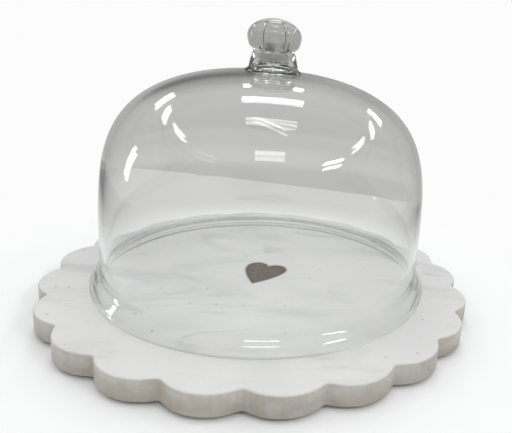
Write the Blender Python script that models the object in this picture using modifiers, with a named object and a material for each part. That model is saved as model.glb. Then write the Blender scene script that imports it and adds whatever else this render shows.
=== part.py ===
"""Cake stand dome: a scalloped marble cake board with a heart inlay and a lift-off glass dome.

Metres, +Z up. The origin is on the worktop, under the middle of the board, and -Y is the front.
"""

import math

import bmesh
import bpy
from mathutils import Matrix, Vector
from mathutils.geometry import interpolate_bezier

OBJECT_NAME = "cake_stand_dome"
GAP = 0.0003                      # clearance kept between pieces that touch or are bonded

# Bumper feet
FOOT_RADIUS = 0.006
FOOT_HEIGHT = 0.0018
FOOT_CIRCLE_RADIUS = 0.105
FOOT_EDGE_ROUND = 0.0004

# Marble board
BOARD_RADIUS = 0.1525             # axis to the tip of a scallop: a 305 mm board
BOARD_THICKNESS = 0.015
BOARD_EDGE_ROUND = 0.0014
SCALLOP_COUNT = 20
SCALLOP_DEPTH = 0.0087            # tip radius less the radius at the notch between two scallops
SCALLOP_PHASE = math.radians(14.8)  # angle of the first notch from +X
SCALLOP_STEPS = 8
BOARD_BOTTOM = FOOT_HEIGHT + GAP
BOARD_TOP = BOARD_BOTTOM + BOARD_THICKNESS

# Heart inlay, in its own frame: the point at (0, 0), the lobes towards +Y
HEART_CLEFT = (0.0, 0.0326)
HEART_TOP = (0.0075, 0.0385)
HEART_SIDE = (0.0153, 0.0295)
HEART_STEPS = 7
HEART_POINT_PLACE = (-0.0077, -0.0118)   # the heart's point on the board
HEART_TURN = math.radians(-19.3)
HEART_THICKNESS = 0.0020
ADHESIVE_WIDTH = 0.0005
ADHESIVE_BED = 0.0005
POCKET_DEPTH = HEART_THICKNESS + ADHESIVE_BED + 2.0 * GAP
CUTTER_RISE = 0.005               # how far a cutter stands above the face that it cuts

# Glass dome, heights measured from its standing face
WALL_RADIUS = 0.1122
WALL_THICKNESS = 0.0032
CROWN_HEIGHT = 0.1518
CROWN_THICKNESS = 0.0045
SHOULDER_RISE = 5.25              # superellipse exponents: how square the shoulder is
SHOULDER_ROUND = 2.23
SHOULDER_LOW_ANGLE = 4.0          # degrees: where the curve has become the straight wall
SHOULDER_STEPS = 13
RIM_RADIUS = 0.1191
RIM_OUTER_ROUND = 0.0022
RIM_SIDE = 0.0013                 # straight part of the rim's side, above its rounded edge
RIM_INNER_RADIUS = 0.1149
RIM_INNER_ROUND = 0.0015
FLARE_HEIGHT = 0.0170
RIM_STEPS = 3
FLARE_STEPS = 5
DOME_STEPS = 56
DOME_BASE = BOARD_TOP + GAP

# Glass knob, heights measured from the crown of the dome
KNOB_LOBES = 5
KNOB_HEIGHT = 0.0340
KNOB_BASE_RADIUS = 0.0176
KNOB_NECK_RADIUS = 0.0151
KNOB_NECK_HEIGHT = 0.0124
KNOB_HEAD_RADIUS = 0.0190
KNOB_HEAD_HEIGHT = 0.0223         # height of the widest part of the head
KNOB_TOP_POWER = 2.0
KNOB_CHIN_POWER = 1.7
KNOB_FOOT_ROUND = 0.0008
HEAD_START = KNOB_NECK_HEIGHT - 0.001   # the section changes from stem to head between these
HEAD_FULL = KNOB_NECK_HEIGHT + 0.004
STEM_FULL = 0.003                 # the round foot has become the five-sided stem
LOBE_OFFSET = 0.0070              # axis to the centre of a lobe's round face
KNOB_STEPS = 60
KNOB_HEAD_STEPS = 8
KNOB_STEM_STEPS = 4
DOME_TOP = DOME_BASE + CROWN_HEIGHT

MARBLE = ("marble", (0.80, 0.80, 0.79), 0.28, 0.0)
INLAY = ("dark_inlay", (0.13, 0.11, 0.095), 0.55, 0.0)
RESIN = ("clear_resin", (0.70, 0.69, 0.65), 0.35, 0.0)
GLASS = ("clear_glass", (0.90, 0.94, 0.92), 0.02, 1.0)
BUMPER = ("bumper_rubber", (0.55, 0.56, 0.56), 0.60, 0.0)


def clear_scene():
    for item in list(bpy.data.objects):
        bpy.data.objects.remove(item, do_unlink=True)


def new_collection(name):
    collection = bpy.data.collections.new(name)
    bpy.context.scene.collection.children.link(collection)
    return collection


def make_material(spec):
    name, colour, roughness, transmission = spec
    material = bpy.data.materials.new(name)
    material.use_nodes = True
    shader = material.node_tree.nodes["Principled BSDF"]
    shader.inputs["Base Color"].default_value = (*colour, 1.0)
    shader.inputs["Roughness"].default_value = roughness
    shader.inputs["Metallic"].default_value = 0.0
    shader.inputs["Transmission Weight"].default_value = transmission
    shader.inputs["IOR"].default_value = 1.5
    material.diffuse_color = (*colour, 1.0)
    return material


def add_object(name, data, collection, material=None):
    item = bpy.data.objects.new(name, data)
    collection.objects.link(item)
    if material is not None:
        data.materials.append(material)
    return item


def shade_round(item, angle=math.radians(35)):
    item.data.shade_smooth()
    item.data.set_sharp_from_angle(angle=angle)


def evaluated_mesh(item):
    """The object's mesh with its curve or modifiers worked out, caps and seams welded."""
    depsgraph = bpy.context.evaluated_depsgraph_get()
    mesh = bpy.data.meshes.new_from_object(item.evaluated_get(depsgraph))
    work = bmesh.new()
    work.from_mesh(mesh)
    bmesh.ops.remove_doubles(work, verts=work.verts, dist=0.00001)
    work.to_mesh(mesh)
    work.free()
    return mesh


def flat_slab(name, outline, low, high, collection, material=None):
    """A solid of even thickness between two heights, with the given outline."""
    curve = bpy.data.curves.new(name, "CURVE")
    curve.dimensions = "2D"
    curve.fill_mode = "BOTH"
    curve.extrude = (high - low) / 2.0
    spline = curve.splines.new("POLY")
    spline.points.add(len(outline) - 1)
    for point, (x, y) in zip(spline.points, outline):
        point.co = (x, y, 0.0, 1.0)
    spline.use_cyclic_u = True
    guide = add_object(name + "_outline", curve, collection)
    guide.location.z = (high + low) / 2.0
    bpy.context.view_layer.update()
    mesh = evaluated_mesh(guide)
    slab = add_object(name, mesh, collection, material)
    slab.matrix_world = guide.matrix_world.copy()
    bpy.data.objects.remove(guide, do_unlink=True)
    merge_flat_faces(mesh)
    return slab


def merge_flat_faces(mesh):
    """Joins the triangles of each flat cap into one face, so a bevel runs evenly round it."""
    work = bmesh.new()
    work.from_mesh(mesh)
    bmesh.ops.dissolve_limit(work, angle_limit=math.radians(0.5), verts=work.verts, edges=work.edges)
    bmesh.ops.recalc_face_normals(work, faces=work.faces)
    work.to_mesh(mesh)
    work.free()


def add_bevel(item, width, segments):
    bevel = item.modifiers.new("rounded_edges", "BEVEL")
    bevel.width = width
    bevel.segments = segments
    bevel.limit_method = "ANGLE"
    bevel.angle_limit = math.radians(40)
    return bevel


def add_cut(item, cutter):
    cut = item.modifiers.new("cut_" + cutter.name, "BOOLEAN")
    cut.operation = "DIFFERENCE"
    cut.solver = "EXACT"
    cut.object = cutter
    cutter.hide_render = True
    cutter.display_type = "WIRE"


def turned(name, profile, steps, collection, material):
    """A solid of revolution about Z from (radius, height) points, run down its outer side."""
    mesh = bpy.data.meshes.new(name)
    points = [(radius, 0.0, height) for radius, height in profile]
    edges = [(index, index + 1) for index in range(len(points) - 1)]
    mesh.from_pydata(points, edges, [])
    item = add_object(name, mesh, collection, material)
    screw = item.modifiers.new("turn", "SCREW")
    screw.axis = "Z"
    screw.angle = math.tau
    screw.steps = steps
    screw.render_steps = steps
    screw.use_merge_vertices = True
    screw.merge_threshold = 0.00002
    screw.use_smooth_shade = True
    return item


def arc(centre, radius, start, end, steps):
    """Points on an arc from start to end, both in degrees and both included."""
    points = []
    for step in range(steps + 1):
        angle = math.radians(start + (end - start) * step / steps)
        points.append((centre[0] + radius * math.cos(angle), centre[1] + radius * math.sin(angle)))
    return points


def bezier(start, start_handle, end_handle, end, steps):
    corners = [Vector((*point, 0.0)) for point in (start, start_handle, end_handle, end)]
    return [(point.x, point.y) for point in interpolate_bezier(*corners, steps + 1)]


def scallop_outline():
    """The board's outline: equal round scallops meeting in notches."""
    half_step = math.pi / SCALLOP_COUNT
    notch_radius = BOARD_RADIUS - SCALLOP_DEPTH
    half_chord = notch_radius * math.sin(half_step)
    rise = BOARD_RADIUS - notch_radius * math.cos(half_step)
    lobe_radius = (half_chord ** 2 + rise ** 2) / (2.0 * rise)
    lobe_centre = BOARD_RADIUS - lobe_radius
    half_angle = math.asin(half_chord / lobe_radius)
    outline = []
    for index in range(SCALLOP_COUNT):
        middle = SCALLOP_PHASE + (2 * index + 1) * half_step
        for step in range(SCALLOP_STEPS):
            angle = half_angle * (2.0 * step / SCALLOP_STEPS - 1.0)
            point = Vector((lobe_centre + lobe_radius * math.cos(angle), lobe_radius * math.sin(angle)))
            point.rotate(Matrix.Rotation(middle, 2))
            outline.append((point.x, point.y))
    return outline


def heart_outline():
    """The heart's outline on the board, counter-clockwise from its point."""
    lower = bezier((0.0, 0.0), (0.0085, 0.0095), (0.0153, 0.0220), HEART_SIDE, HEART_STEPS)
    shoulder = bezier(HEART_SIDE, (0.0153, 0.0345), (0.0122, 0.0385), HEART_TOP, HEART_STEPS)
    inner = bezier(HEART_TOP, (0.0036, 0.0385), (0.0008, 0.0358), HEART_CLEFT, HEART_STEPS)
    right = lower[:-1] + shoulder[:-1] + inner
    left = [(-x, y) for x, y in reversed(right[1:-1])]
    outline = []
    for x, y in right + left:
        point = Vector((x, y))
        point.rotate(Matrix.Rotation(HEART_TURN, 2))
        outline.append((point.x + HEART_POINT_PLACE[0], point.y + HEART_POINT_PLACE[1]))
    return outline


def distance_to(outline, point):
    """The shortest distance from a point to a closed outline."""
    nearest = math.inf
    for index, corner in enumerate(outline):
        start = Vector(corner)
        along = Vector(outline[(index + 1) % len(outline)]) - start
        share = min(max((point - start).dot(along) / along.length_squared, 0.0), 1.0)
        nearest = min(nearest, (start + along * share - point).length)
    return nearest


def grown(outline, distance):
    """A counter-clockwise outline moved outwards by a distance.

    Corners stay sharp, and the points that would cross over in a cleft are left out.
    """
    result = []
    for index, corner in enumerate(outline):
        here = Vector(corner)
        before = (here - Vector(outline[index - 1])).normalized()
        after = (Vector(outline[(index + 1) % len(outline)]) - here).normalized()
        normal_before = Vector((before.y, -before.x))
        normal_after = Vector((after.y, -after.x))
        middle = (normal_before + normal_after).normalized()
        moved = here + middle * distance / middle.dot(normal_after)
        if distance_to(outline, moved) > 0.98 * distance:
            result.append((moved.x, moved.y))
    return result


def make_board(parts, cutters, material):
    heart = heart_outline()
    board = flat_slab("marble_board", scallop_outline(), BOARD_BOTTOM, BOARD_TOP, parts, material)
    add_bevel(board, BOARD_EDGE_ROUND, 2)
    pocket_outline = grown(heart, ADHESIVE_WIDTH + 2.0 * GAP)
    pocket_floor = BOARD_TOP - POCKET_DEPTH
    pocket = flat_slab("heart_pocket", pocket_outline, pocket_floor, BOARD_TOP + CUTTER_RISE, cutters)
    add_cut(board, pocket)
    shade_round(board)


def make_inlay(parts, cutters, inlay_material, resin_material):
    heart = heart_outline()
    bed_bottom = BOARD_TOP - POCKET_DEPTH + GAP
    heart_bottom = BOARD_TOP - HEART_THICKNESS
    outer = grown(heart, ADHESIVE_WIDTH + GAP)
    bed = flat_slab("inlay_adhesive", outer, bed_bottom, BOARD_TOP, parts, resin_material)
    seat = flat_slab("heart_seat", grown(heart, GAP), heart_bottom - GAP, BOARD_TOP + CUTTER_RISE, cutters)
    add_cut(bed, seat)
    flat_slab("heart_inlay", heart, heart_bottom, BOARD_TOP, parts, inlay_material)


def make_feet(parts, material):
    corners = {"front_left": 225, "front_right": 315, "back_right": 45, "back_left": 135}
    for corner, degrees in corners.items():
        angle = math.radians(degrees)
        x = FOOT_CIRCLE_RADIUS * math.cos(angle)
        y = FOOT_CIRCLE_RADIUS * math.sin(angle)
        bpy.ops.mesh.primitive_cylinder_add(
            vertices=32, radius=FOOT_RADIUS, depth=FOOT_HEIGHT, location=(x, y, FOOT_HEIGHT / 2.0))
        foot = bpy.context.object
        foot.name = "bumper_foot_" + corner
        for collection in list(foot.users_collection):
            collection.objects.unlink(foot)
        parts.objects.link(foot)
        foot.data.materials.append(material)
        add_bevel(foot, FOOT_EDGE_ROUND, 2)
        shade_round(foot)


def shoulder_curve(radius, height):
    """The bell's section from the crown on its axis down to the straight wall."""
    points = []
    for step in range(SHOULDER_STEPS + 1):
        degrees = 90.0 + (SHOULDER_LOW_ANGLE - 90.0) * step / SHOULDER_STEPS
        angle = math.radians(degrees)
        across = max(math.cos(angle), 0.0) ** (2.0 / SHOULDER_ROUND) if step else 0.0
        points.append((radius * across, height * math.sin(angle) ** (2.0 / SHOULDER_RISE)))
    return points


def crown_drop(radius):
    """How far the outside of the crown lies below its top at a given radius."""
    share = (1.0 - (radius / WALL_RADIUS) ** SHOULDER_ROUND) ** (1.0 / SHOULDER_RISE)
    return CROWN_HEIGHT * (1.0 - share)


def dome_profile():
    inner_radius = WALL_RADIUS - WALL_THICKNESS
    rim_top = (RIM_RADIUS, RIM_OUTER_ROUND + RIM_SIDE)
    outer_flare = bezier(
        (WALL_RADIUS, FLARE_HEIGHT), (WALL_RADIUS, 0.55 * FLARE_HEIGHT),
        (RIM_RADIUS, 0.53 * FLARE_HEIGHT), rim_top, FLARE_STEPS)
    outer_round = arc(
        (RIM_RADIUS - RIM_OUTER_ROUND, RIM_OUTER_ROUND), RIM_OUTER_ROUND, 0, -90, RIM_STEPS)
    inner_round = arc(
        (RIM_INNER_RADIUS + RIM_INNER_ROUND, RIM_INNER_ROUND), RIM_INNER_ROUND, 270, 180, RIM_STEPS)
    inner_flare = bezier(
        (RIM_INNER_RADIUS, RIM_INNER_ROUND), (RIM_INNER_RADIUS, 0.36 * FLARE_HEIGHT),
        (inner_radius, 0.40 * FLARE_HEIGHT), (inner_radius, FLARE_HEIGHT), FLARE_STEPS)[1:]
    outside = shoulder_curve(WALL_RADIUS, CROWN_HEIGHT) + outer_flare + outer_round
    inside = shoulder_curve(inner_radius, CROWN_HEIGHT - CROWN_THICKNESS)
    return outside + inner_round + inner_flare + list(reversed(inside))


def make_dome(parts, material):
    dome = turned("glass_dome", dome_profile(), DOME_STEPS, parts, material)
    dome.location.z = DOME_BASE
    return dome


def knob_profile():
    """The knob's section at its widest, down the outside and back along the underside."""
    points = []
    top_rise = KNOB_HEIGHT - KNOB_HEAD_HEIGHT
    for step in range(KNOB_HEAD_STEPS):
        angle = math.radians(90.0 - 90.0 * step / KNOB_HEAD_STEPS)
        across = math.cos(angle) ** (2.0 / KNOB_TOP_POWER) if step else 0.0
        up = math.sin(angle) ** (2.0 / KNOB_TOP_POWER)
        points.append((KNOB_HEAD_RADIUS * across, KNOB_HEAD_HEIGHT + top_rise * up))
    chin_drop = KNOB_HEAD_HEIGHT - KNOB_NECK_HEIGHT
    for step in range(KNOB_HEAD_STEPS):
        share = step / KNOB_HEAD_STEPS
        radius = KNOB_HEAD_RADIUS + (KNOB_NECK_RADIUS - KNOB_HEAD_RADIUS) * share ** KNOB_CHIN_POWER
        points.append((radius, KNOB_HEAD_HEIGHT - chin_drop * share))
    for step in range(KNOB_STEM_STEPS + 1):
        share = step / KNOB_STEM_STEPS
        radius = KNOB_NECK_RADIUS + (KNOB_BASE_RADIUS - KNOB_NECK_RADIUS) * share
        points.append((radius, KNOB_NECK_HEIGHT + (KNOB_FOOT_ROUND - KNOB_NECK_HEIGHT) * share))
    underside_radius = KNOB_BASE_RADIUS - KNOB_FOOT_ROUND
    for share in (1.0, 0.6, 0.3, 0.0):
        radius = underside_radius * share
        points.append((radius, GAP - crown_drop(radius)))
    return points


def lobe_section(angle):
    """Radius of the lobed head, as a share of the widest, at an angle from a lobe's middle."""
    lobe_radius = KNOB_HEAD_RADIUS - LOBE_OFFSET
    side = LOBE_OFFSET * math.sin(angle)
    reach = LOBE_OFFSET * math.cos(angle) + math.sqrt(lobe_radius ** 2 - side ** 2)
    return reach / KNOB_HEAD_RADIUS


def stem_section(angle):
    """Radius of the five-sided stem, as a share of its corner radius."""
    return math.cos(math.pi / KNOB_LOBES) / math.cos(angle)


def ease(low, high, value):
    share = min(max((value - low) / (high - low), 0.0), 1.0)
    return share * share * (3.0 - 2.0 * share)


def make_knob(parts, material):
    """A turned knob whose sections are then drawn in to a five-sided stem and a five-lobed head."""
    blank = turned("knob_blank", knob_profile(), KNOB_STEPS, parts, material)
    mesh = evaluated_mesh(blank)
    bpy.data.objects.remove(blank, do_unlink=True)
    lobe_angle = math.tau / KNOB_LOBES
    for vertex in mesh.vertices:
        around = math.atan2(vertex.co.y, vertex.co.x) + math.pi / 2.0
        angle = (around + lobe_angle / 2.0) % lobe_angle - lobe_angle / 2.0
        head = ease(HEAD_START, HEAD_FULL, vertex.co.z)
        stem = ease(0.0, STEM_FULL, vertex.co.z)
        crown = ease(KNOB_HEAD_HEIGHT, KNOB_HEIGHT, vertex.co.z)
        lobed = lobe_section(angle) + (1.0 - lobe_section(angle)) * crown ** 2
        sided = 1.0 + (stem_section(angle) - 1.0) * stem
        share = lobed * head + sided * (1.0 - head)
        vertex.co.x *= share
        vertex.co.y *= share
    knob = add_object("glass_knob", mesh, parts)
    knob.location.z = DOME_TOP
    shade_round(knob)
    return knob


def main():
    clear_scene()
    parts = new_collection(OBJECT_NAME)
    cutters = new_collection("cutters")
    marble = make_material(MARBLE)
    inlay = make_material(INLAY)
    resin = make_material(RESIN)
    glass = make_material(GLASS)
    bumper = make_material(BUMPER)
    make_board(parts, cutters, marble)
    make_inlay(parts, cutters, inlay, resin)
    make_feet(parts, bumper)

    # Dome and knob are one glass piece in use, and lift together along the dome's axis.
    lift_axis = bpy.data.objects.new("dome_lift_axis", None)
    parts.objects.link(lift_axis)
    for item in (make_dome(parts, glass), make_knob(parts, glass)):
        item.parent = lift_axis
    bpy.context.view_layer.update()


main()
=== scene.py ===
"""Looks of the cake stand dome: a scalloped marble board, a heart inlay and a clear glass bell.

Metres, +Z up, -Y is the front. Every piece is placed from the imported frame's own boxes.
"""

import math

import bmesh
import bpy
from mathutils import Matrix, Vector, noise
from mathutils.geometry import interpolate_bezier


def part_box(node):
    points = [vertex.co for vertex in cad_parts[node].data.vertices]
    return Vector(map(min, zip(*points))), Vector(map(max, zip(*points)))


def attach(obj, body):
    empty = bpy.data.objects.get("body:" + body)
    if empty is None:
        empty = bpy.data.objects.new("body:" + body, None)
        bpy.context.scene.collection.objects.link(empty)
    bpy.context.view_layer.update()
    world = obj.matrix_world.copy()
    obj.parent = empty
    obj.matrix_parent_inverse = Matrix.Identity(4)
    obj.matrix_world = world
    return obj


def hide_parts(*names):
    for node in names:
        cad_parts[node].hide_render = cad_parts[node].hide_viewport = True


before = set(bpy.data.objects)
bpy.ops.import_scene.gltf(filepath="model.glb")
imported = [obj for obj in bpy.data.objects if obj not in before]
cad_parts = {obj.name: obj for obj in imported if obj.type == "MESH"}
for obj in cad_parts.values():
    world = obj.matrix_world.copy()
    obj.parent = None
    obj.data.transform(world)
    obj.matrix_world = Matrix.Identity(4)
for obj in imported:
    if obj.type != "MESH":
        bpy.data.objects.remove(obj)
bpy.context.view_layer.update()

GAP = 0.0003                       # the frame's clearance between pieces that touch
CUTTER_RISE = 0.005                # how far a pocket's cutter stands out of the surface

# Board, a tenth of a millimetre inside the frame's board at the tips of its scallops
BOARD_LOW, BOARD_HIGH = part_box("marble_board")
BOARD_RADIUS = 0.1524              # axis to the tip of a scallop
SCALLOP_COUNT = 20
SCALLOP_DEPTH = 0.0087             # tip radius less the radius at the notch between two scallops
SCALLOP_PHASE = math.radians(14.8)  # angle of the first notch from +X
SCALLOP_STEPS = 26
NOTCH_SOFTENING = 2                # smoothing passes that round the notches
BOARD_EDGE_ROUND = 0.0017
BOARD_EDGE_STEPS = 5
POCKET_DEPTH = 0.0031
SIDE_MARGIN = 0.002                # of the sides' painted shade, from the board's top and bottom
VEIN_TURN = math.radians(-7.0)
VEIN_SHIFT = (0.11, -0.23, 0.37)   # moves the veins' pattern, which picks the ones that show

# Heart, in its own frame: the point at (0, 0), the lobes towards +Y
HEART_CLEFT = (0.0, 0.0326)
HEART_TOP = (0.0075, 0.0385)
HEART_SIDE = (0.0153, 0.0295)
HEART_STEPS = 20
HEART_POINT_PLACE = (-0.0077, -0.0118)
HEART_TURN = math.radians(-19.3)
HEART_THICKNESS = 0.0020
HEART_EDGE_ROUND = 0.00018
HEART_EDGE_STEPS = 3
ADHESIVE_WIDTH = 0.0005

# Bumper feet
BUMPER_EDGE_ROUND = 0.0002
BUMPER_EDGE_STEPS = 4
BUMPER_SIDE_STEPS = 10
BUMPER_STEPS = 64

# Glass
GLASS_IOR = 1.52
BODY_COLOUR = (0.545, 0.56, 0.535)
BODY_DENSITY = 20.0
LAMP_PASS = (0.962, 0.964, 0.960)  # what lamp light keeps through each surface
BELL_TINT = (0.985, 0.988, 0.984)
KNOB_TINT = (0.960, 0.953, 0.936)
GROUND_TINT = (0.64, 0.66, 0.65)   # of the bell's standing face, which is ground matt
GROUND_ROUGHNESS = 0.45
GROUND_LOW = 0.0004                # heights over the bell's base between which the matt face ends
GROUND_HIGH = 0.0014

# Glass bell, heights measured from its standing face
DOME_LOW, DOME_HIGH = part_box("glass_dome")
DOME_BASE = DOME_LOW.z
CROWN_HEIGHT = DOME_HIGH.z - DOME_LOW.z
RIM_RADIUS = 0.1191
RIM_OUTER_ROUND = 0.0022
RIM_UPRIGHT = 0.0013               # height of the rim's straight part, over its outer round
RIM_INNER_RADIUS = 0.1149
RIM_INNER_ROUND = 0.0015
WALL_RADIUS = 0.1122
WALL_THICKNESS = 0.0032
CROWN_THICKNESS = 0.0045
SHOULDER_RISE = 5.25               # the superellipse's exponents, in height and in radius
SHOULDER_ROUND = 2.23
SHOULDER_LOW_ANGLE = 4.0           # degrees, where the superellipse gives way to the straight wall
FLARE_HEIGHT = 0.0170
SHOULDER_STEPS = 64
WALL_STEPS = 24
FLARE_STEPS = 18
RIM_STEPS = 8
DOME_STEPS = 224
OUTSIDE_WAVE = 0.00004             # how far the blown surfaces wander from the true shape
INSIDE_WAVE = 0.00010
INSIDE_WAVE_SHIFT = 3.1            # keeps the inside's waves apart from the outside's
WAVES_ACROSS = 14.0                # waves to the metre
WAVES_UP = 20.0
STILL_FOOT_HEIGHT = 0.002          # the waves grow from here up to the next height
WAVY_WALL_HEIGHT = 0.020
WAVY_RADIUS = 0.01                 # the crown's waves grow from the axis out to here
WAVE_CENTRE_SHARE = 0.35           # of the crown's height: waves move the glass to or from this point

# Glass knob, heights measured from the crown of the bell
KNOB_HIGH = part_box("glass_knob")[1]
KNOB_LOBES = 5
KNOB_HEIGHT = KNOB_HIGH.z - DOME_HIGH.z
KNOB_FOOT_HEIGHT = 0.0020
KNOB_BASE_RADIUS = 0.0176
KNOB_NECK_RADIUS = 0.0151
KNOB_NECK_HEIGHT = 0.0124
KNOB_HEAD_RADIUS = 0.0182
KNOB_HEAD_HEIGHT = 0.0223
KNOB_CHIN_POWER = 1.7              # above 1, the head rounds off before it narrows to the neck
LOBE_OFFSET = 0.0052               # from the axis to the centre of a lobe's arc
GROOVE_DEPTH = 0.070               # of the creases between the lobes, as a share of the radius
GROOVE_WIDTH = math.radians(7.5)
LOBES_START = KNOB_NECK_HEIGHT - 0.0006
LOBES_FULL = KNOB_NECK_HEIGHT + 0.0035
PANELS_FULL = 0.0030               # height at which the round foot has become the panelled stem
TOP_START = KNOB_HEAD_HEIGHT + 0.005   # height at which the lobes start to fade into the round top
KNOB_TOP_STEPS = 28
KNOB_CHIN_STEPS = 20
KNOB_STEM_STEPS = 16
COLLAR_STEPS = 10
KNOB_STEPS = 240
COLLAR_RADIUS = 0.0196             # where the fused glass at the knob's foot runs into the crown
COLLAR_SINK = 0.0002
FOOT_RING_SHARES = (0.90, 0.80, 0.74, 0.68, 0.62, 0.57, 0.4, 0.2, 0.0)   # of the collar's radius
FUSE_DEPTH = 0.0008                # how far the knob's foot overlaps the crown's glass
SEAT_DEPTH = 0.0028                # of the dip in the crown that the knob's foot fills
SEAT_INNER_RADIUS = 0.0120
SEAT_OUTER_RADIUS = 0.0165

# Table and backdrop
TABLE = ((-0.60, -0.70), (0.60, -0.70), (0.60, 0.171), (-0.60, 0.547))   # corners of the floor
TABLE_COLOUR = (0.95, 0.945, 0.94)
TABLE_ROUGHNESS = 0.9
FAR_TABLE = (0.165, 0.27)          # distances over which the table turns as light as the backdrop
TABLE_ASIDE = (0.19, 0.36)         # distances to the left and right over which it darkens in glass
BACKDROP = (0.97, 0.97, 0.97)      # radiance of the backdrop and of the table's far part
TABLE_IN_GLASS = (0.72, 0.715, 0.705)   # the same, as glass shows it
TABLE_SIDES = (0.25, 0.255, 0.255)  # and off to the sides

# The room, which shows in the glass and lights the stone. Directions run from -1 to 1.
# The bands say how light it is at each height of view, from straight down to straight up.
ROOM_BANDS = (
    (-1.0, 0.54), (-0.212, 0.54), (-0.207, 0.70), (-0.203, 0.62), (-0.172, 0.60), (-0.160, 0.55),
    (-0.125, 0.56), (-0.115, 0.50), (-0.06, 0.52), (1.0, 0.48))
ROOM_CAST = (1.0, 0.99, 0.965)     # the bands are a little warm
LOW_SIDES = (0.46, 0.465, 0.46)
WALL_LEFT = (0.20, 0.205, 0.20)
WALL_RIGHT = (0.44, 0.445, 0.44)
WALL_SIDES = (0.48, 0.485, 0.485)
OVERHEAD = (0.74, 0.75, 0.76)
LOW_SIDES_TURN = (0.30, 0.75)      # directions to the side over which the bands turn to LOW_SIDES
WALL_RISE = (0.10, 0.24)
WALL_TURN = (-0.12, 0.16)
WALL_SIDES_TURN = (0.30, 0.55)
OVERHEAD_RISE = (0.36, 0.80)

# Lights
LIGHT_TARGET = (0.0, 0.0, 0.1)
CEILING = 3.0                      # height of the light tubes over the board
COLUMN_PLACES = (-0.97, 0.01, 1.03)      # across and back, as shares of the ceiling's height
ROW_PLACES = (1.38, 0.69, 0.06, -0.76)
TUBES = (-1, 0, 1)                 # places of a panel's tubes, in steps of their spacing
TUBE_SPACING = 0.152
TUBE_LENGTH = 1.15
TUBE_WIDTH = 0.125
TUBE_RADIANCE = 5.7
TUBE_COLOUR = (0.95, 0.985, 1.0)
FRONT_ROW_SHARES = (0.15, 1.2, 4.2)  # the front row is brighter towards the right
STRIP_PLACE = (-2.9, 0.75, 0.45)
STRIP_SIZE = (0.20, 0.9)
STRIP_RADIANCE = 9.0
STRIP_COLOUR = (0.93, 0.985, 1.0)

# Camera
CAMERA_PLACE = (0.0, -0.42227, 0.20417)
CAMERA_TURN = math.radians(-10.071)
CAMERA_LEAN = math.radians(73.55)  # 90 would be level
CAMERA_ROLL = math.radians(5.517)
CAMERA_LENS = 42.19
CAMERA_SENSOR = 36.0
CAMERA_SHIFT = (-0.2211, -0.0248)
CAMERA_NEAR = 0.01


def add_object(name, mesh, material, body):
    """A piece of the visual model that moves with a body of the frame."""
    piece = bpy.data.objects.new(name, mesh)
    bpy.context.scene.collection.objects.link(piece)
    mesh.materials.append(material)
    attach(piece, body)
    return piece


def shade_round(mesh, degrees):
    mesh.shade_smooth()
    mesh.set_sharp_from_angle(angle=math.radians(degrees))


# Node helpers

def new_material(name):
    material = bpy.data.materials.new(name)
    material.use_nodes = True
    tree = material.node_tree
    return material, tree, tree.nodes["Principled BSDF"]


def object_point(tree, scale=(1.0, 1.0, 1.0), turn=0.0, shift=(0.0, 0.0, 0.0)):
    """The object's own coordinates in metres, shifted, turned about Z and then scaled."""
    source = tree.nodes.new("ShaderNodeTexCoord")
    mapping = tree.nodes.new("ShaderNodeMapping")
    mapping.vector_type = "TEXTURE"
    mapping.inputs["Location"].default_value = shift
    mapping.inputs["Rotation"].default_value = (0.0, 0.0, turn)
    mapping.inputs["Scale"].default_value = [1.0 / share for share in scale]
    tree.links.new(source.outputs["Object"], mapping.inputs["Vector"])
    return mapping.outputs["Vector"]


def noise_value(tree, vector, scale, detail=3.0, roughness=0.5, distortion=0.0):
    texture = tree.nodes.new("ShaderNodeTexNoise")
    texture.inputs["Scale"].default_value = scale
    texture.inputs["Detail"].default_value = detail
    texture.inputs["Roughness"].default_value = roughness
    texture.inputs["Distortion"].default_value = distortion
    tree.links.new(vector, texture.inputs["Vector"])
    return texture.outputs["Fac"]


def cells(tree, vector, scale):
    """A texture of cells, with a distance from each cell's middle and a colour for each cell."""
    texture = tree.nodes.new("ShaderNodeTexVoronoi")
    texture.inputs["Scale"].default_value = scale
    tree.links.new(vector, texture.inputs["Vector"])
    return texture


def ramp(tree, value, low, high, start=0.0, end=1.0):
    """The value's range from low to high, spread over start to end and smooth at both ends."""
    node = tree.nodes.new("ShaderNodeMapRange")
    node.interpolation_type = "SMOOTHSTEP"
    node.inputs["From Min"].default_value = low
    node.inputs["From Max"].default_value = high
    node.inputs["To Min"].default_value = start
    node.inputs["To Max"].default_value = end
    tree.links.new(value, node.inputs["Value"])
    return node.outputs["Result"]


def arithmetic(tree, operation, first, second):
    node = tree.nodes.new("ShaderNodeMath")
    node.operation = operation
    for socket, value in zip(node.inputs, (first, second)):
        if isinstance(value, float):
            socket.default_value = value
        else:
            tree.links.new(value, socket)
    return node.outputs["Value"]


def mixed(tree, share, first, second, blend="MIX"):
    """Two colours mixed by a share; each may be a colour or a node's output."""
    node = tree.nodes.new("ShaderNodeMix")
    node.data_type = "RGBA"
    node.blend_type = blend
    sockets = (node.inputs["Factor"], node.inputs[6], node.inputs[7])   # 6 and 7 are the colours
    for socket, value in zip(sockets, (share, first, second)):
        if isinstance(value, float):
            socket.default_value = value
        elif isinstance(value, tuple):
            socket.default_value = (*value, 1.0)
        else:
            tree.links.new(value, socket)
    return node.outputs[2]


def bump(tree, height, strength, distance, under=None):
    node = tree.nodes.new("ShaderNodeBump")
    node.inputs["Strength"].default_value = strength
    node.inputs["Distance"].default_value = distance
    tree.links.new(height, node.inputs["Height"])
    if under is not None:
        tree.links.new(under, node.inputs["Normal"])
    return node.outputs["Normal"]


# Materials

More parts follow.
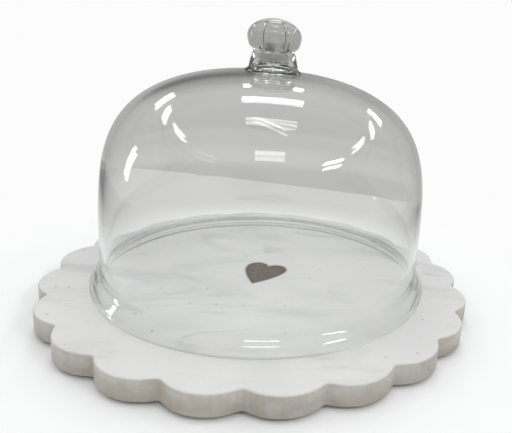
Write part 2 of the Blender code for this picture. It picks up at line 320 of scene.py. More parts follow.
def marble_material():
    """Honed white marble: soft grey clouds, drawn-out veins, crystal grain and a few dark specks.

    The sawn sides are rougher than the honed top and carry a painted warm shade, strongest towards the
    bottom as a painted contact shadow.
    """
    material, tree, shader = new_material("honed_white_marble")
    plain = object_point(tree)
    along = object_point(tree, (0.34, 1.0, 1.0), VEIN_TURN, VEIN_SHIFT)

    clouds = ramp(tree, noise_value(tree, plain, 14.0, 4.0, 0.55, 0.6), 0.36, 0.68)
    colour = mixed(tree, clouds, (0.768, 0.752, 0.731), (0.710, 0.701, 0.687))

    smudge = ramp(tree, noise_value(tree, along, 30.0, 5.0, 0.58, 0.7), 0.49, 0.74, 0.0, 0.60)
    colour = mixed(tree, smudge, colour, (0.455, 0.460, 0.475))

    course = noise_value(tree, along, 15.0, 4.0, 0.50, 0.8)
    offset = arithmetic(tree, "ABSOLUTE", arithmetic(tree, "SUBTRACT", course, 0.5), 0.0)
    thread = ramp(tree, offset, 0.0, 0.013, 1.0, 0.0)
    spread = noise_value(tree, object_point(tree, shift=VEIN_SHIFT), 26.0, 3.0, 0.5, 0.0)
    places = ramp(tree, spread, 0.50, 0.72, 0.0, 0.42)
    vein = arithmetic(tree, "MULTIPLY", thread, places)
    colour = mixed(tree, vein, colour, (0.33, 0.335, 0.35))

    crystal = cells(tree, plain, 900.0)
    tone = tree.nodes.new("ShaderNodeSeparateColor")
    tree.links.new(crystal.outputs["Color"], tone.inputs["Color"])
    grain = ramp(tree, tone.outputs["Red"], 0.0, 1.0, 0.0, 0.055)
    colour = mixed(tree, grain, colour, (0.42, 0.42, 0.42))

    warm = ramp(tree, noise_value(tree, plain, 19.0, 3.0, 0.5, 0.3), 0.50, 0.72, 0.0, 0.30)
    colour = mixed(tree, warm, colour, (0.74, 0.705, 0.655))

    speck_cells = cells(tree, plain, 46.0)
    speck_cells.voronoi_dimensions = "2D"
    pick = tree.nodes.new("ShaderNodeSeparateColor")
    tree.links.new(speck_cells.outputs["Color"], pick.inputs["Color"])
    chosen = ramp(tree, pick.outputs["Green"], 0.76, 0.78)
    ragged = noise_value(tree, plain, 1500.0, 2.0, 0.6, 0.0)
    fringe = arithmetic(tree, "MULTIPLY", ragged, 0.03)
    reach = arithmetic(tree, "ADD", speck_cells.outputs["Distance"], fringe)
    dot = ramp(tree, reach, 0.022, 0.075, 0.62, 0.0)
    speck = arithmetic(tree, "MULTIPLY", dot, chosen)

    facing = tree.nodes.new("ShaderNodeNewGeometry")
    upward = tree.nodes.new("ShaderNodeSeparateXYZ")
    tree.links.new(facing.outputs["Normal"], upward.inputs["Vector"])
    side = ramp(tree, upward.outputs["Z"], 0.25, 0.85, 1.0, 0.0)
    level = tree.nodes.new("ShaderNodeSeparateXYZ")
    tree.links.new(plain, level.inputs["Vector"])
    on_top = arithmetic(tree, "MULTIPLY", speck, arithmetic(tree, "SUBTRACT", 1.0, side))
    colour = mixed(tree, on_top, colour, (0.17, 0.155, 0.15))
    # Painted shade on the sides: a warm darkening by the side mask, strongest towards the bottom as a
    # painted contact shadow.
    painted_contact_shade = ramp(
        tree, level.outputs["Z"], BOARD_LOW.z + SIDE_MARGIN, BOARD_HIGH.z - SIDE_MARGIN, 1.0, 0.55)
    painted_side_shade = arithmetic(tree, "MULTIPLY", side, painted_contact_shade)
    colour = mixed(tree, painted_side_shade, colour, mixed(tree, 1.0, colour, (0.65, 0.62, 0.57), "MULTIPLY"))
    saw = noise_value(tree, object_point(tree, (1.0, 1.0, 0.05)), 420.0, 3.0, 0.6, 0.0)
    sawn = arithmetic(tree, "MULTIPLY", side, ramp(tree, saw, 0.38, 0.70, 0.0, 0.19))
    colour = mixed(tree, sawn, colour, (0.40, 0.38, 0.345))
    stain = noise_value(tree, object_point(tree, (1.0, 1.0, 1.8)), 44.0, 4.0, 0.6, 0.6)
    patches = ramp(tree, stain, 0.36, 0.66)
    stained = mixed(tree, 1.0, colour, (0.84, 0.815, 0.77), "MULTIPLY")
    colour = mixed(tree, arithmetic(tree, "MULTIPLY", side, patches), colour, stained)
    tree.links.new(colour, shader.inputs["Base Color"])

    honed = ramp(tree, noise_value(tree, plain, 160.0, 4.0, 0.6, 0.0), 0.3, 0.7, 0.30, 0.40)
    rough = arithmetic(tree, "ADD", honed, arithmetic(tree, "MULTIPLY", side, 0.16))
    tree.links.new(rough, shader.inputs["Roughness"])
    fine = bump(tree, tone.outputs["Red"], 0.10, 0.00005)
    tree.links.new(bump(tree, sawn, 0.30, 0.0002, fine), shader.inputs["Normal"])
    shader.inputs["Subsurface Weight"].default_value = 0.18
    shader.inputs["Subsurface Radius"].default_value = (1.0, 0.90, 0.78)
    shader.inputs["Subsurface Scale"].default_value = 0.0035
    shader.inputs["IOR"].default_value = 1.49
    return material


def heart_material():
    """Dark brown-grey stone with a mottled, slightly drawn grain."""
    material, tree, shader = new_material("dark_heart_stone")
    plain = object_point(tree)
    drawn = object_point(tree, (1.0, 0.22, 1.0), HEART_TURN)
    patch = ramp(tree, noise_value(tree, plain, 75.0, 3.0, 0.55, 0.5), 0.38, 0.66)
    colour = mixed(tree, patch, (0.056, 0.037, 0.025), (0.074, 0.036, 0.018))
    mottle = ramp(tree, noise_value(tree, plain, 420.0, 5.0, 0.65, 0.3), 0.36, 0.66)
    colour = mixed(tree, arithmetic(tree, "MULTIPLY", mottle, 0.75), colour, (0.088, 0.063, 0.044))
    grain = ramp(tree, noise_value(tree, drawn, 900.0, 3.0, 0.6, 0.0), 0.46, 0.74, 0.0, 0.55)
    colour = mixed(tree, grain, colour, (0.045, 0.032, 0.025))
    crystal = cells(tree, plain, 1500.0)
    flake = tree.nodes.new("ShaderNodeSeparateColor")
    tree.links.new(crystal.outputs["Color"], flake.inputs["Color"])
    bright = ramp(tree, flake.outputs["Blue"], 0.90, 0.97, 0.0, 0.45)
    colour = mixed(tree, bright, colour, (0.24, 0.205, 0.18))
    tree.links.new(colour, shader.inputs["Base Color"])
    tree.links.new(ramp(tree, mottle, 0.0, 1.0, 0.62, 0.44), shader.inputs["Roughness"])
    tree.links.new(bump(tree, grain, 0.25, 0.00008), shader.inputs["Normal"])
    return material


def resin_material():
    """Set clear adhesive, seen as a thin pale line round the heart."""
    material, tree, shader = new_material("set_clear_adhesive")
    plain = object_point(tree)
    cloud = ramp(tree, noise_value(tree, plain, 300.0, 4.0, 0.6, 0.4), 0.35, 0.7)
    colour = mixed(tree, cloud, (0.72, 0.71, 0.68), (0.56, 0.54, 0.50))
    tree.links.new(colour, shader.inputs["Base Color"])
    tree.links.new(ramp(tree, cloud, 0.0, 1.0, 0.26, 0.42), shader.inputs["Roughness"])
    tree.links.new(bump(tree, cloud, 0.2, 0.0001), shader.inputs["Normal"])
    return material


def bumper_material():
    """Milky soft rubber with a fine moulded skin."""
    material, tree, shader = new_material("milky_bumper_rubber")
    plain = object_point(tree)
    skin = noise_value(tree, plain, 1400.0, 3.0, 0.6, 0.0)
    dust = ramp(tree, noise_value(tree, plain, 260.0, 4.0, 0.6, 0.0), 0.45, 0.75)
    colour = mixed(tree, dust, (0.56, 0.57, 0.57), (0.40, 0.395, 0.38))
    tree.links.new(colour, shader.inputs["Base Color"])
    tree.links.new(ramp(tree, skin, 0.3, 0.7, 0.48, 0.66), shader.inputs["Roughness"])
    tree.links.new(bump(tree, skin, 0.25, 0.0001), shader.inputs["Normal"])
    shader.inputs["Subsurface Weight"].default_value = 0.15
    shader.inputs["Subsurface Scale"].default_value = 0.001
    return material


def glass_material(name, wave_scale, wave_strength, tint):
    """Clear soda-lime glass with a faint green-grey body, ground matt on the face it stands on.

    Lamp light, and the light that matt surfaces gather, pass almost straight through.
    """
    material, tree, shader = new_material(name)
    plain = object_point(tree)
    parts = tree.nodes.new("ShaderNodeSeparateXYZ")
    tree.links.new(plain, parts.inputs["Vector"])
    ground = ramp(
        tree, parts.outputs["Z"], DOME_BASE + GROUND_LOW, DOME_BASE + GROUND_HIGH, 1.0, 0.0)
    tree.links.new(mixed(tree, ground, tint, GROUND_TINT), shader.inputs["Base Color"])
    tree.links.new(arithmetic(tree, "MULTIPLY", ground, GROUND_ROUGHNESS), shader.inputs["Roughness"])
    shader.inputs["IOR"].default_value = GLASS_IOR
    shader.inputs["Transmission Weight"].default_value = 1.0
    ripple = noise_value(tree, plain, wave_scale, 2.0, 0.45, 0.4)
    tree.links.new(bump(tree, ripple, wave_strength, 0.0006), shader.inputs["Normal"])

    output = tree.nodes["Material Output"]
    passing = tree.nodes.new("ShaderNodeBsdfTransparent")
    passing.inputs["Color"].default_value = (*LAMP_PASS, 1.0)
    path = tree.nodes.new("ShaderNodeLightPath")
    lamp = arithmetic(tree, "MAXIMUM", path.outputs["Is Shadow Ray"], path.outputs["Is Diffuse Ray"])
    mix = tree.nodes.new("ShaderNodeMixShader")
    tree.links.new(lamp, mix.inputs["Fac"])
    tree.links.new(shader.outputs["BSDF"], mix.inputs[1])
    tree.links.new(passing.outputs["BSDF"], mix.inputs[2])
    tree.links.new(mix.outputs["Shader"], output.inputs["Surface"])

    body = tree.nodes.new("ShaderNodeVolumeAbsorption")
    body.inputs["Color"].default_value = (*BODY_COLOUR, 1.0)
    body.inputs["Density"].default_value = BODY_DENSITY
    tree.links.new(body.outputs["Volume"], output.inputs["Volume"])
    return material


# Shapes

def arc(centre, radius, start, end, steps):
    """Points on an arc from start to end, both in degrees and both included."""
    points = []
    for step in range(steps + 1):
        angle = math.radians(start + (end - start) * step / steps)
        points.append((centre[0] + radius * math.cos(angle), centre[1] + radius * math.sin(angle)))
    return points


def bezier(start, start_handle, end_handle, end, steps):
    corners = [Vector((*point, 0.0)) for point in (start, start_handle, end_handle, end)]
    return [(point.x, point.y) for point in interpolate_bezier(*corners, steps + 1)]


def line(start, end, steps):
    """Points from start to end, both left out."""
    points = []
    for step in range(1, steps):
        share = step / steps
        points.append((start[0] + (end[0] - start[0]) * share, start[1] + (end[1] - start[1]) * share))
    return points


def ease(low, high, value):
    """0 up to low, 1 from high on, and a smooth step between them."""
    share = min(max((value - low) / (high - low), 0.0), 1.0)
    return share * share * (3.0 - 2.0 * share)


def turned_mesh(name, profile, steps, place):
    """A closed mesh from a profile that starts and ends on the axis.

    place turns a radius, an angle, a height and the profile's share into a point.
    """
    work = bmesh.new()
    rings = []
    for index, (radius, height) in enumerate(profile):
        share = index / (len(profile) - 1)
        if radius < 0.0000001:
            rings.append([work.verts.new(place(0.0, 0.0, height, share))])
            continue
        ring = []
        for step in range(steps):
            ring.append(work.verts.new(place(radius, math.tau * step / steps, height, share)))
        rings.append(ring)
    for above, below in zip(rings, rings[1:]):
        for step in range(steps):
            after = (step + 1) % steps
            corners = [above[step % len(above)], below[step % len(below)]]
            corners += [below[after % len(below)], above[after % len(above)]]
            work.faces.new(list(dict.fromkeys(corners)))
    bmesh.ops.recalc_face_normals(work, faces=work.faces)
    mesh = bpy.data.meshes.new(name)
    work.to_mesh(mesh)
    work.free()
    return mesh


def flat_slab_mesh(name, outline, low, high):
    """A solid of even thickness between two heights, with one face on each cap."""
    work = bmesh.new()
    bottom = [work.verts.new((x, y, low)) for x, y in outline]
    top = [work.verts.new((x, y, high)) for x, y in outline]
    work.faces.new(list(reversed(bottom)))
    work.faces.new(top)
    for index in range(len(outline)):
        after = (index + 1) % len(outline)
        work.faces.new((bottom[index], bottom[after], top[after], top[index]))
    bmesh.ops.recalc_face_normals(work, faces=work.faces)
    mesh = bpy.data.meshes.new(name)
    work.to_mesh(mesh)
    work.free()
    return mesh


def scallop_outline():
    """The board's outline: equal round scallops whose notches are eased by smoothing."""
    half_step = math.pi / SCALLOP_COUNT
    notch_radius = BOARD_RADIUS - SCALLOP_DEPTH
    half_chord = notch_radius * math.sin(half_step)
    rise = BOARD_RADIUS - notch_radius * math.cos(half_step)
    lobe_radius = (half_chord ** 2 + rise ** 2) / (2.0 * rise)
    lobe_centre = BOARD_RADIUS - lobe_radius
    half_angle = math.asin(half_chord / lobe_radius)
    outline = []
    for index in range(SCALLOP_COUNT):
        middle = SCALLOP_PHASE + (2 * index + 1) * half_step
        for step in range(SCALLOP_STEPS):
            angle = half_angle * (2.0 * step / SCALLOP_STEPS - 1.0)
            point = Vector((lobe_centre + lobe_radius * math.cos(angle), lobe_radius * math.sin(angle)))
            point.rotate(Matrix.Rotation(middle, 2))
            outline.append(point)
    for _ in range(NOTCH_SOFTENING):
        before = outline[-1:] + outline[:-1]
        after = outline[1:] + outline[:1]
        outline = [(a + 2.0 * b + c) / 4.0 for a, b, c in zip(before, outline, after)]
    return [(point.x, point.y) for point in outline]


def heart_outline():
    """The heart's outline on the board, counter-clockwise from its point."""
    lower = bezier((0.0, 0.0), (0.0085, 0.0095), (0.0153, 0.0220), HEART_SIDE, HEART_STEPS)
    shoulder = bezier(HEART_SIDE, (0.0153, 0.0345), (0.0122, 0.0385), HEART_TOP, HEART_STEPS)
    inner = bezier(HEART_TOP, (0.0036, 0.0385), (0.0008, 0.0358), HEART_CLEFT, HEART_STEPS)
    right = lower[:-1] + shoulder[:-1] + inner
    left = [(-x, y) for x, y in reversed(right[1:-1])]
    outline = []
    for x, y in right + left:
        point = Vector((x, y))
        point.rotate(Matrix.Rotation(HEART_TURN, 2))
        outline.append((point.x + HEART_POINT_PLACE[0], point.y + HEART_POINT_PLACE[1]))
    return outline


def distance_to(outline, point):
    """The shortest distance from a point to a closed outline."""
    nearest = math.inf
    for index, corner in enumerate(outline):
        start = Vector(corner)
        along = Vector(outline[(index + 1) % len(outline)]) - start
        share = min(max((point - start).dot(along) / along.length_squared, 0.0), 1.0)
        nearest = min(nearest, (start + along * share - point).length)
    return nearest


def grown(outline, distance):
    """A counter-clockwise outline moved outwards by a distance, its corners kept sharp."""
    result = []
    for index, corner in enumerate(outline):
        here = Vector(corner)
        before = (here - Vector(outline[index - 1])).normalized()
        after = (Vector(outline[(index + 1) % len(outline)]) - here).normalized()
        normal_before = Vector((before.y, -before.x))
        normal_after = Vector((after.y, -after.x))
        middle = (normal_before + normal_after).normalized()
        moved = here + middle * distance / middle.dot(normal_after)
        if distance_to(outline, moved) > 0.98 * distance:
            result.append((moved.x, moved.y))
    return result


def add_bevel(piece, width, segments):
    """Rounds the piece's sharp edges once its modifiers are applied."""
    bevel = piece.modifiers.new("rounded_edges", "BEVEL")
    bevel.width = width
    bevel.segments = segments
    bevel.limit_method = "ANGLE"
    bevel.angle_limit = math.radians(50)


def apply_modifiers(piece):
    """Gives the piece the mesh that its modifiers make."""
    bpy.context.view_layer.update()
    depsgraph = bpy.context.evaluated_depsgraph_get()
    made = bpy.data.meshes.new_from_object(piece.evaluated_get(depsgraph))
    piece.modifiers.clear()
    piece.data = made


def cut(piece, outline, low, high):
    """Takes a flat pocket with the given outline out of the piece."""
    cutter = bpy.data.objects.new("cutter", flat_slab_mesh("cutter", outline, low, high))
    bpy.context.scene.collection.objects.link(cutter)
    boolean = piece.modifiers.new("pocket", "BOOLEAN")
    boolean.operation = "DIFFERENCE"
    boolean.solver = "EXACT"
    boolean.object = cutter
    apply_modifiers(piece)
    bpy.data.objects.remove(cutter, do_unlink=True)


def make_board():
    top = BOARD_HIGH.z
    mesh = flat_slab_mesh("scalloped_marble_slab", scallop_outline(), BOARD_LOW.z, top)
    board = add_object("scalloped_marble_slab", mesh, marble_material(), "board")
    add_bevel(board, BOARD_EDGE_ROUND, BOARD_EDGE_STEPS)
    pocket = grown(heart_outline(), ADHESIVE_WIDTH + 2.0 * GAP)
    cut(board, pocket, top - POCKET_DEPTH, top + CUTTER_RISE)
    shade_round(board.data, 30)
    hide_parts("marble_board")


def make_inlay():
    top = BOARD_HIGH.z
    heart = heart_outline()
    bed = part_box("inlay_adhesive")[0].z
    line_mesh = flat_slab_mesh("heart_resin_line", grown(heart, ADHESIVE_WIDTH + GAP), bed, top)
    resin = add_object("heart_resin_line", line_mesh, resin_material(), "board")
    cut(resin, grown(heart, GAP), top - HEART_THICKNESS - GAP, top + CUTTER_RISE)
    shade_round(resin.data, 30)
    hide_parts("inlay_adhesive")

    stone = flat_slab_mesh("dark_heart_tile", heart, top - HEART_THICKNESS, top)
    tile = add_object("dark_heart_tile", stone, heart_material(), "board")
    add_bevel(tile, HEART_EDGE_ROUND, HEART_EDGE_STEPS)
    apply_modifiers(tile)
    shade_round(tile.data, 30)
    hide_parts("heart_inlay")


def bumper_profile(radius, height):
    """A moulded dot, wide where it sticks to the board and softly domed where it stands."""
    points = [(0.0, height), (0.5 * radius, height)]
    edge_centre = (radius - BUMPER_EDGE_ROUND, height - BUMPER_EDGE_ROUND)
    points += arc(edge_centre, BUMPER_EDGE_ROUND, 90, 0, BUMPER_EDGE_STEPS)
    points += bezier(
        (radius, 0.55 * height), (radius, 0.2 * height), (0.93 * radius, 0.0), (0.72 * radius, 0.0),
        BUMPER_SIDE_STEPS)
    return points + [(0.4 * radius, 0.0), (0.0, 0.0)]


def make_bumpers():
    material = bumper_material()
    for corner in ("front_left", "front_right", "back_left", "back_right"):
        node = "bumper_foot_" + corner
        low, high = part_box(node)
        middle = (low + high) / 2.0
        profile = bumper_profile((high.x - low.x) / 2.0, high.z - low.z)

        def place(radius, angle, height, _share):
            x, y = radius * math.cos(angle), radius * math.sin(angle)
            return (middle.x + x, middle.y + y, low.z + height)

        mesh = turned_mesh("rubber_" + corner, profile, BUMPER_STEPS, place)
        shade_round(mesh, 40)
        bumper = add_object("rubber_" + corner, mesh, material, "board")
        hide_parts(node)


def shoulder_curve(radius, height):
    """The bell's section from the crown on its axis down to the straight wall."""
    points = []
    for step in range(SHOULDER_STEPS + 1):
        angle = math.radians(90.0 + (SHOULDER_LOW_ANGLE - 90.0) * step / SHOULDER_STEPS)
        across = max(math.cos(angle), 0.0) ** (2.0 / SHOULDER_ROUND) if step else 0.0
        points.append((radius * across, height * math.sin(angle) ** (2.0 / SHOULDER_RISE)))
    return points


def crown_drop(radius):
    """How far the outside of the crown lies below its top at a given radius."""
    share = (1.0 - (radius / WALL_RADIUS) ** SHOULDER_ROUND) ** (1.0 / SHOULDER_RISE)
    return CROWN_HEIGHT * (1.0 - share)


def seat_drop(radius):
    """How far the dip under the knob lies below the crown's outside at a given radius."""
    return SEAT_DEPTH * (1.0 - ease(SEAT_INNER_RADIUS, SEAT_OUTER_RADIUS, radius))


def dome_profile():
    """The bell's section: down the outside, round the rolled foot and back up the inside."""
    inner_radius = WALL_RADIUS - WALL_THICKNESS
    outside = [(r, z - seat_drop(r)) for r, z in shoulder_curve(WALL_RADIUS, CROWN_HEIGHT)]
    inside = shoulder_curve(inner_radius, CROWN_HEIGHT - CROWN_THICKNESS)
    outer_flare = bezier(
        (WALL_RADIUS, FLARE_HEIGHT), (WALL_RADIUS, 0.55 * FLARE_HEIGHT),
        (RIM_RADIUS, 0.53 * FLARE_HEIGHT), (RIM_RADIUS, RIM_OUTER_ROUND + RIM_UPRIGHT), FLARE_STEPS)
    outer_round = arc(
        (RIM_RADIUS - RIM_OUTER_ROUND, RIM_OUTER_ROUND), RIM_OUTER_ROUND, 0, -90, RIM_STEPS)
    inner_round = arc(
        (RIM_INNER_RADIUS + RIM_INNER_ROUND, RIM_INNER_ROUND), RIM_INNER_ROUND, 270, 180, RIM_STEPS)
    inner_flare = bezier(
        (RIM_INNER_RADIUS, RIM_INNER_ROUND), (RIM_INNER_RADIUS, 0.36 * FLARE_HEIGHT),
        (inner_radius, 0.40 * FLARE_HEIGHT), (inner_radius, FLARE_HEIGHT), FLARE_STEPS)[1:]
    return (
        outside + line(outside[-1], outer_flare[0], WALL_STEPS) + outer_flare + outer_round
        + inner_round + inner_flare + line(inner_flare[-1], inside[-1], WALL_STEPS)
        + list(reversed(inside)))


def make_dome(material):
    profile = dome_profile()
    outside_count = SHOULDER_STEPS + WALL_STEPS + FLARE_STEPS

    def place(radius, angle, height, share):
        x, y = radius * math.cos(angle), radius * math.sin(angle)
        outside = share * (len(profile) - 1) < outside_count
        size = OUTSIDE_WAVE if outside else INSIDE_WAVE
        fade = ease(STILL_FOOT_HEIGHT, WAVY_WALL_HEIGHT, height) * ease(0.0, WAVY_RADIUS, radius)
        shift = 0.0 if outside else INSIDE_WAVE_SHIFT
        seat = Vector((WAVES_ACROSS * x, WAVES_ACROSS * y, WAVES_UP * height + shift))
        wave = size * fade * noise.noise(seat)
        level = Vector((radius, height - WAVE_CENTRE_SHARE * CROWN_HEIGHT)).normalized()
        reach = wave * level.x / max(radius, 0.0001)
        return (x * (1.0 + reach), y * (1.0 + reach), DOME_BASE + height + wave * max(level.y, 0.0))

    mesh = turned_mesh("clear_glass_bell", profile, DOME_STEPS, place)
    mesh.shade_smooth()
    bell = add_object("clear_glass_bell", mesh, material, "dome")
    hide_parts("glass_dome")


def knob_profile():
    """The knob's section at its widest, down the outside, over the collar and back underneath."""
    points = []
    top_rise = KNOB_HEIGHT - KNOB_HEAD_HEIGHT
    for step in range(KNOB_TOP_STEPS):
        angle = math.radians(90.0 - 90.0 * step / KNOB_TOP_STEPS)
        radius = KNOB_HEAD_RADIUS * math.cos(angle) if step else 0.0
        points.append((radius, KNOB_HEAD_HEIGHT + top_rise * math.sin(angle)))
    chin_drop = KNOB_HEAD_HEIGHT - KNOB_NECK_HEIGHT
    for step in range(KNOB_CHIN_STEPS):
        share = step / KNOB_CHIN_STEPS
        radius = KNOB_HEAD_RADIUS + (KNOB_NECK_RADIUS - KNOB_HEAD_RADIUS) * share ** KNOB_CHIN_POWER
        points.append((radius, KNOB_HEAD_HEIGHT - chin_drop * share))
    for step in range(KNOB_STEM_STEPS + 1):
        share = step / KNOB_STEM_STEPS
        radius = KNOB_NECK_RADIUS + (KNOB_BASE_RADIUS - KNOB_NECK_RADIUS) * share
        points.append((radius, KNOB_NECK_HEIGHT + (KNOB_FOOT_HEIGHT - KNOB_NECK_HEIGHT) * share))
    collar_height = -crown_drop(COLLAR_RADIUS) - COLLAR_SINK
    points += bezier(
        (KNOB_BASE_RADIUS, KNOB_FOOT_HEIGHT), (KNOB_BASE_RADIUS + 0.0003, 0.0006),
        (KNOB_BASE_RADIUS + 0.0016, collar_height + 0.0006), (COLLAR_RADIUS, collar_height),
        COLLAR_STEPS)[1:]
    for share in FOOT_RING_SHARES:
        radius = COLLAR_RADIUS * share
        points.append((radius, -FUSE_DEPTH - crown_drop(radius) - seat_drop(radius)))
    return points


def lobe_section(angle):
    """Radius of the lobed head, as a share of the widest, at an angle from a lobe's middle."""
    lobe_radius = KNOB_HEAD_RADIUS - LOBE_OFFSET
    side = LOBE_OFFSET * math.sin(angle)
    reach = LOBE_OFFSET * math.cos(angle) + math.sqrt(lobe_radius ** 2 - side ** 2)
    from_crease = (math.pi / KNOB_LOBES - abs(angle)) / GROOVE_WIDTH
    return reach / KNOB_HEAD_RADIUS - GROOVE_DEPTH * math.exp(-from_crease ** 2)


def stem_section(angle):
    """Radius of the five-panelled stem, as a share of its corner radius."""
    return math.cos(math.pi / KNOB_LOBES) / math.cos(angle)


def make_knob(material):
    """The knob, with a lobe towards -Y: a lobed head over a panelled stem and a round collar."""
    lobe_angle = math.tau / KNOB_LOBES

    def place(radius, around, height, _share):
        angle = (around + math.pi / 2.0 + lobe_angle / 2.0) % lobe_angle - lobe_angle / 2.0
        head = ease(LOBES_START, LOBES_FULL, height)
        stem = ease(0.0, PANELS_FULL, height)
        top = ease(TOP_START, KNOB_HEIGHT, height)
        lobed = lobe_section(angle) + (1.0 - lobe_section(angle)) * top ** 2
        sided = 1.0 + (stem_section(angle) - 1.0) * stem
        reach = radius * (lobed * head + sided * (1.0 - head))
        return (reach * math.cos(around), reach * math.sin(around), DOME_HIGH.z + height)

    mesh = turned_mesh("pressed_glass_knob", knob_profile(), KNOB_STEPS, place)
    shade_round(mesh, 50)
    knob = add_object("pressed_glass_knob", mesh, material, "dome")
    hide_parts("glass_knob")


# Stage

def make_floor():
    """A pale table. Its far part is as light as the backdrop, and darker where glass shows it."""
    work = bmesh.new()
    work.faces.new([work.verts.new((x, y, 0.0)) for x, y in TABLE])
    mesh = bpy.data.meshes.new("floor")
    work.to_mesh(mesh)
    work.free()
    material, tree, shader = new_material("pale_floor")
    shader.inputs["Base Color"].default_value = (*TABLE_COLOUR, 1.0)
    shader.inputs["Roughness"].default_value = TABLE_ROUGHNESS
    shader.inputs["Specular IOR Level"].default_value = 0.0
    plain = object_point(tree)
    distance = tree.nodes.new("ShaderNodeVectorMath")
    distance.operation = "LENGTH"
    tree.links.new(plain, distance.inputs[0])
    path = tree.nodes.new("ShaderNodeLightPath")
    glow = tree.nodes.new("ShaderNodeEmission")
    apart = tree.nodes.new("ShaderNodeSeparateXYZ")
    tree.links.new(plain, apart.inputs["Vector"])
    aside = ramp(tree, arithmetic(tree, "ABSOLUTE", apart.outputs["X"], 0.0), *TABLE_ASIDE)
    in_glass = mixed(tree, aside, TABLE_IN_GLASS, TABLE_SIDES)
    seen = mixed(tree, path.outputs["Is Camera Ray"], in_glass, BACKDROP)
    tree.links.new(seen, glow.inputs["Color"])
    mix = tree.nodes.new("ShaderNodeMixShader")
    tree.links.new(ramp(tree, distance.outputs["Value"], *FAR_TABLE), mix.inputs["Fac"])
    tree.links.new(shader.outputs["BSDF"], mix.inputs[1])
    tree.links.new(glow.outputs["Emission"], mix.inputs[2])
    tree.links.new(mix.outputs["Shader"], tree.nodes["Material Output"].inputs["Surface"])
    mesh.materials.append(material)
    floor = bpy.data.objects.new("floor", mesh)
    bpy.context.scene.collection.objects.link(floor)


def make_world():
    """A soft grey room that brightens overhead. The camera sees a pale backdrop instead of it."""
    world = bpy.data.worlds.new("studio")
    bpy.context.scene.world = world
    world.use_nodes = True
    tree = world.node_tree
    tree.nodes.clear()
    source = tree.nodes.new("ShaderNodeTexCoord")
    parts = tree.nodes.new("ShaderNodeSeparateXYZ")
    tree.links.new(source.outputs["Generated"], parts.inputs["Vector"])
    bands = tree.nodes.new("ShaderNodeValToRGB")
    stops = bands.color_ramp.elements
    for height, _ in ROOM_BANDS[1:-1]:
        stops.new((height + 1.0) / 2.0)
    for stop, (height, tone) in zip(stops, ROOM_BANDS):
        stop.position = (height + 1.0) / 2.0
        stop.color = (*(tone * share for share in ROOM_CAST), 1.0)
    rise = arithmetic(tree, "MULTIPLY", arithmetic(tree, "ADD", parts.outputs["Z"], 1.0), 0.5)
    tree.links.new(rise, bands.inputs["Fac"])
    across = arithmetic(tree, "ABSOLUTE", parts.outputs["X"], 0.0)
    low_room = mixed(tree, ramp(tree, across, *LOW_SIDES_TURN), bands.outputs["Color"], LOW_SIDES)
    middle_wall = mixed(tree, ramp(tree, parts.outputs["X"], *WALL_TURN), WALL_LEFT, WALL_RIGHT)
    wall = mixed(tree, ramp(tree, across, *WALL_SIDES_TURN), middle_wall, WALL_SIDES)
    high_room = mixed(tree, ramp(tree, parts.outputs["Z"], *WALL_RISE), low_room, wall)
    whole_room = mixed(tree, ramp(tree, parts.outputs["Z"], *OVERHEAD_RISE), high_room, OVERHEAD)
    room = tree.nodes.new("ShaderNodeBackground")
    tree.links.new(whole_room, room.inputs["Color"])
    backdrop = tree.nodes.new("ShaderNodeBackground")
    backdrop.inputs["Color"].default_value = (*BACKDROP, 1.0)
    path = tree.nodes.new("ShaderNodeLightPath")
    mix = tree.nodes.new("ShaderNodeMixShader")
    tree.links.new(path.outputs["Is Camera Ray"], mix.inputs["Fac"])
    tree.links.new(room.outputs["Background"], mix.inputs[1])
    tree.links.new(backdrop.outputs["Background"], mix.inputs[2])
    output = tree.nodes.new("ShaderNodeOutputWorld")
    tree.links.new(mix.outputs["Shader"], output.inputs["Surface"])


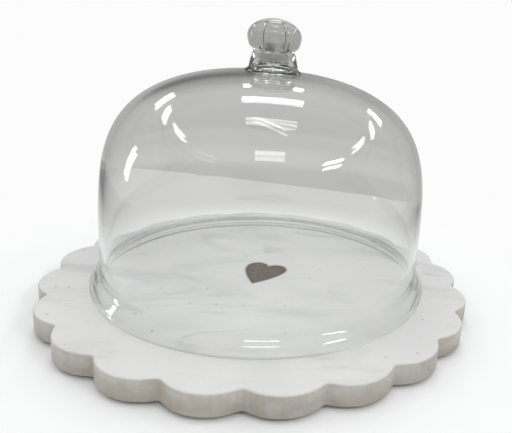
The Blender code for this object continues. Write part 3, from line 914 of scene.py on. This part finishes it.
def add_panel(name, place, size, radiance, colour):
    """A rectangular soft light that faces LIGHT_TARGET. Its power gives the radiance asked for."""
    light = bpy.data.lights.new(name, "AREA")
    light.shape = "RECTANGLE"
    light.size, light.size_y = size
    light.color = colour
    light.energy = radiance * math.pi * size[0] * size[1]
    item = bpy.data.objects.new(name, light)
    item.location = place
    towards = Vector(LIGHT_TARGET) - Vector(place)
    item.rotation_euler = towards.to_track_quat("-Z", "Y").to_euler()
    item.visible_camera = False
    bpy.context.scene.collection.objects.link(item)


def make_lights():
    """Overhead panels of three tubes, in rows and columns, and one upright strip at the left."""
    front_row = len(ROW_PLACES) - 1
    for column, across in enumerate(COLUMN_PLACES):
        for row, back in enumerate(ROW_PLACES):
            radiance = TUBE_RADIANCE * (FRONT_ROW_SHARES[column] if row == front_row else 1.0)
            for tube in TUBES:
                place = (across * CEILING, back * CEILING + TUBE_SPACING * tube, CEILING)
                name = f"tube_{column}_{row}_{tube + 1}"
                add_panel(name, place, (TUBE_LENGTH, TUBE_WIDTH), radiance, TUBE_COLOUR)
    add_panel("left_strip", STRIP_PLACE, STRIP_SIZE, STRIP_RADIANCE, STRIP_COLOUR)


def make_camera():
    """Stands in front, as high as the knob, and looks down, turned to its right and rolled a little."""
    data = bpy.data.cameras.new("camera")
    data.sensor_width = CAMERA_SENSOR
    data.lens = CAMERA_LENS
    data.shift_x, data.shift_y = CAMERA_SHIFT
    data.clip_start = CAMERA_NEAR
    camera = bpy.data.objects.new("camera", data)
    turn = Matrix.Rotation(CAMERA_TURN, 3, "Z")
    lean = Matrix.Rotation(CAMERA_LEAN, 3, "X")
    roll = Matrix.Rotation(CAMERA_ROLL, 3, "Z")
    camera.matrix_world = Matrix.Translation(CAMERA_PLACE) @ (turn @ lean @ roll).to_4x4()
    bpy.context.scene.collection.objects.link(camera)
    bpy.context.scene.camera = camera


def main():
    make_camera()
    make_board()
    make_inlay()
    make_bumpers()
    make_dome(glass_material("clear_blown_glass", wave_scale=22.0, wave_strength=0.05, tint=BELL_TINT))
    make_knob(glass_material("clear_pressed_glass", wave_scale=160.0, wave_strength=0.06, tint=KNOB_TINT))
    make_floor()
    make_world()
    make_lights()
    bpy.context.scene.view_settings.view_transform = "Standard"


main()
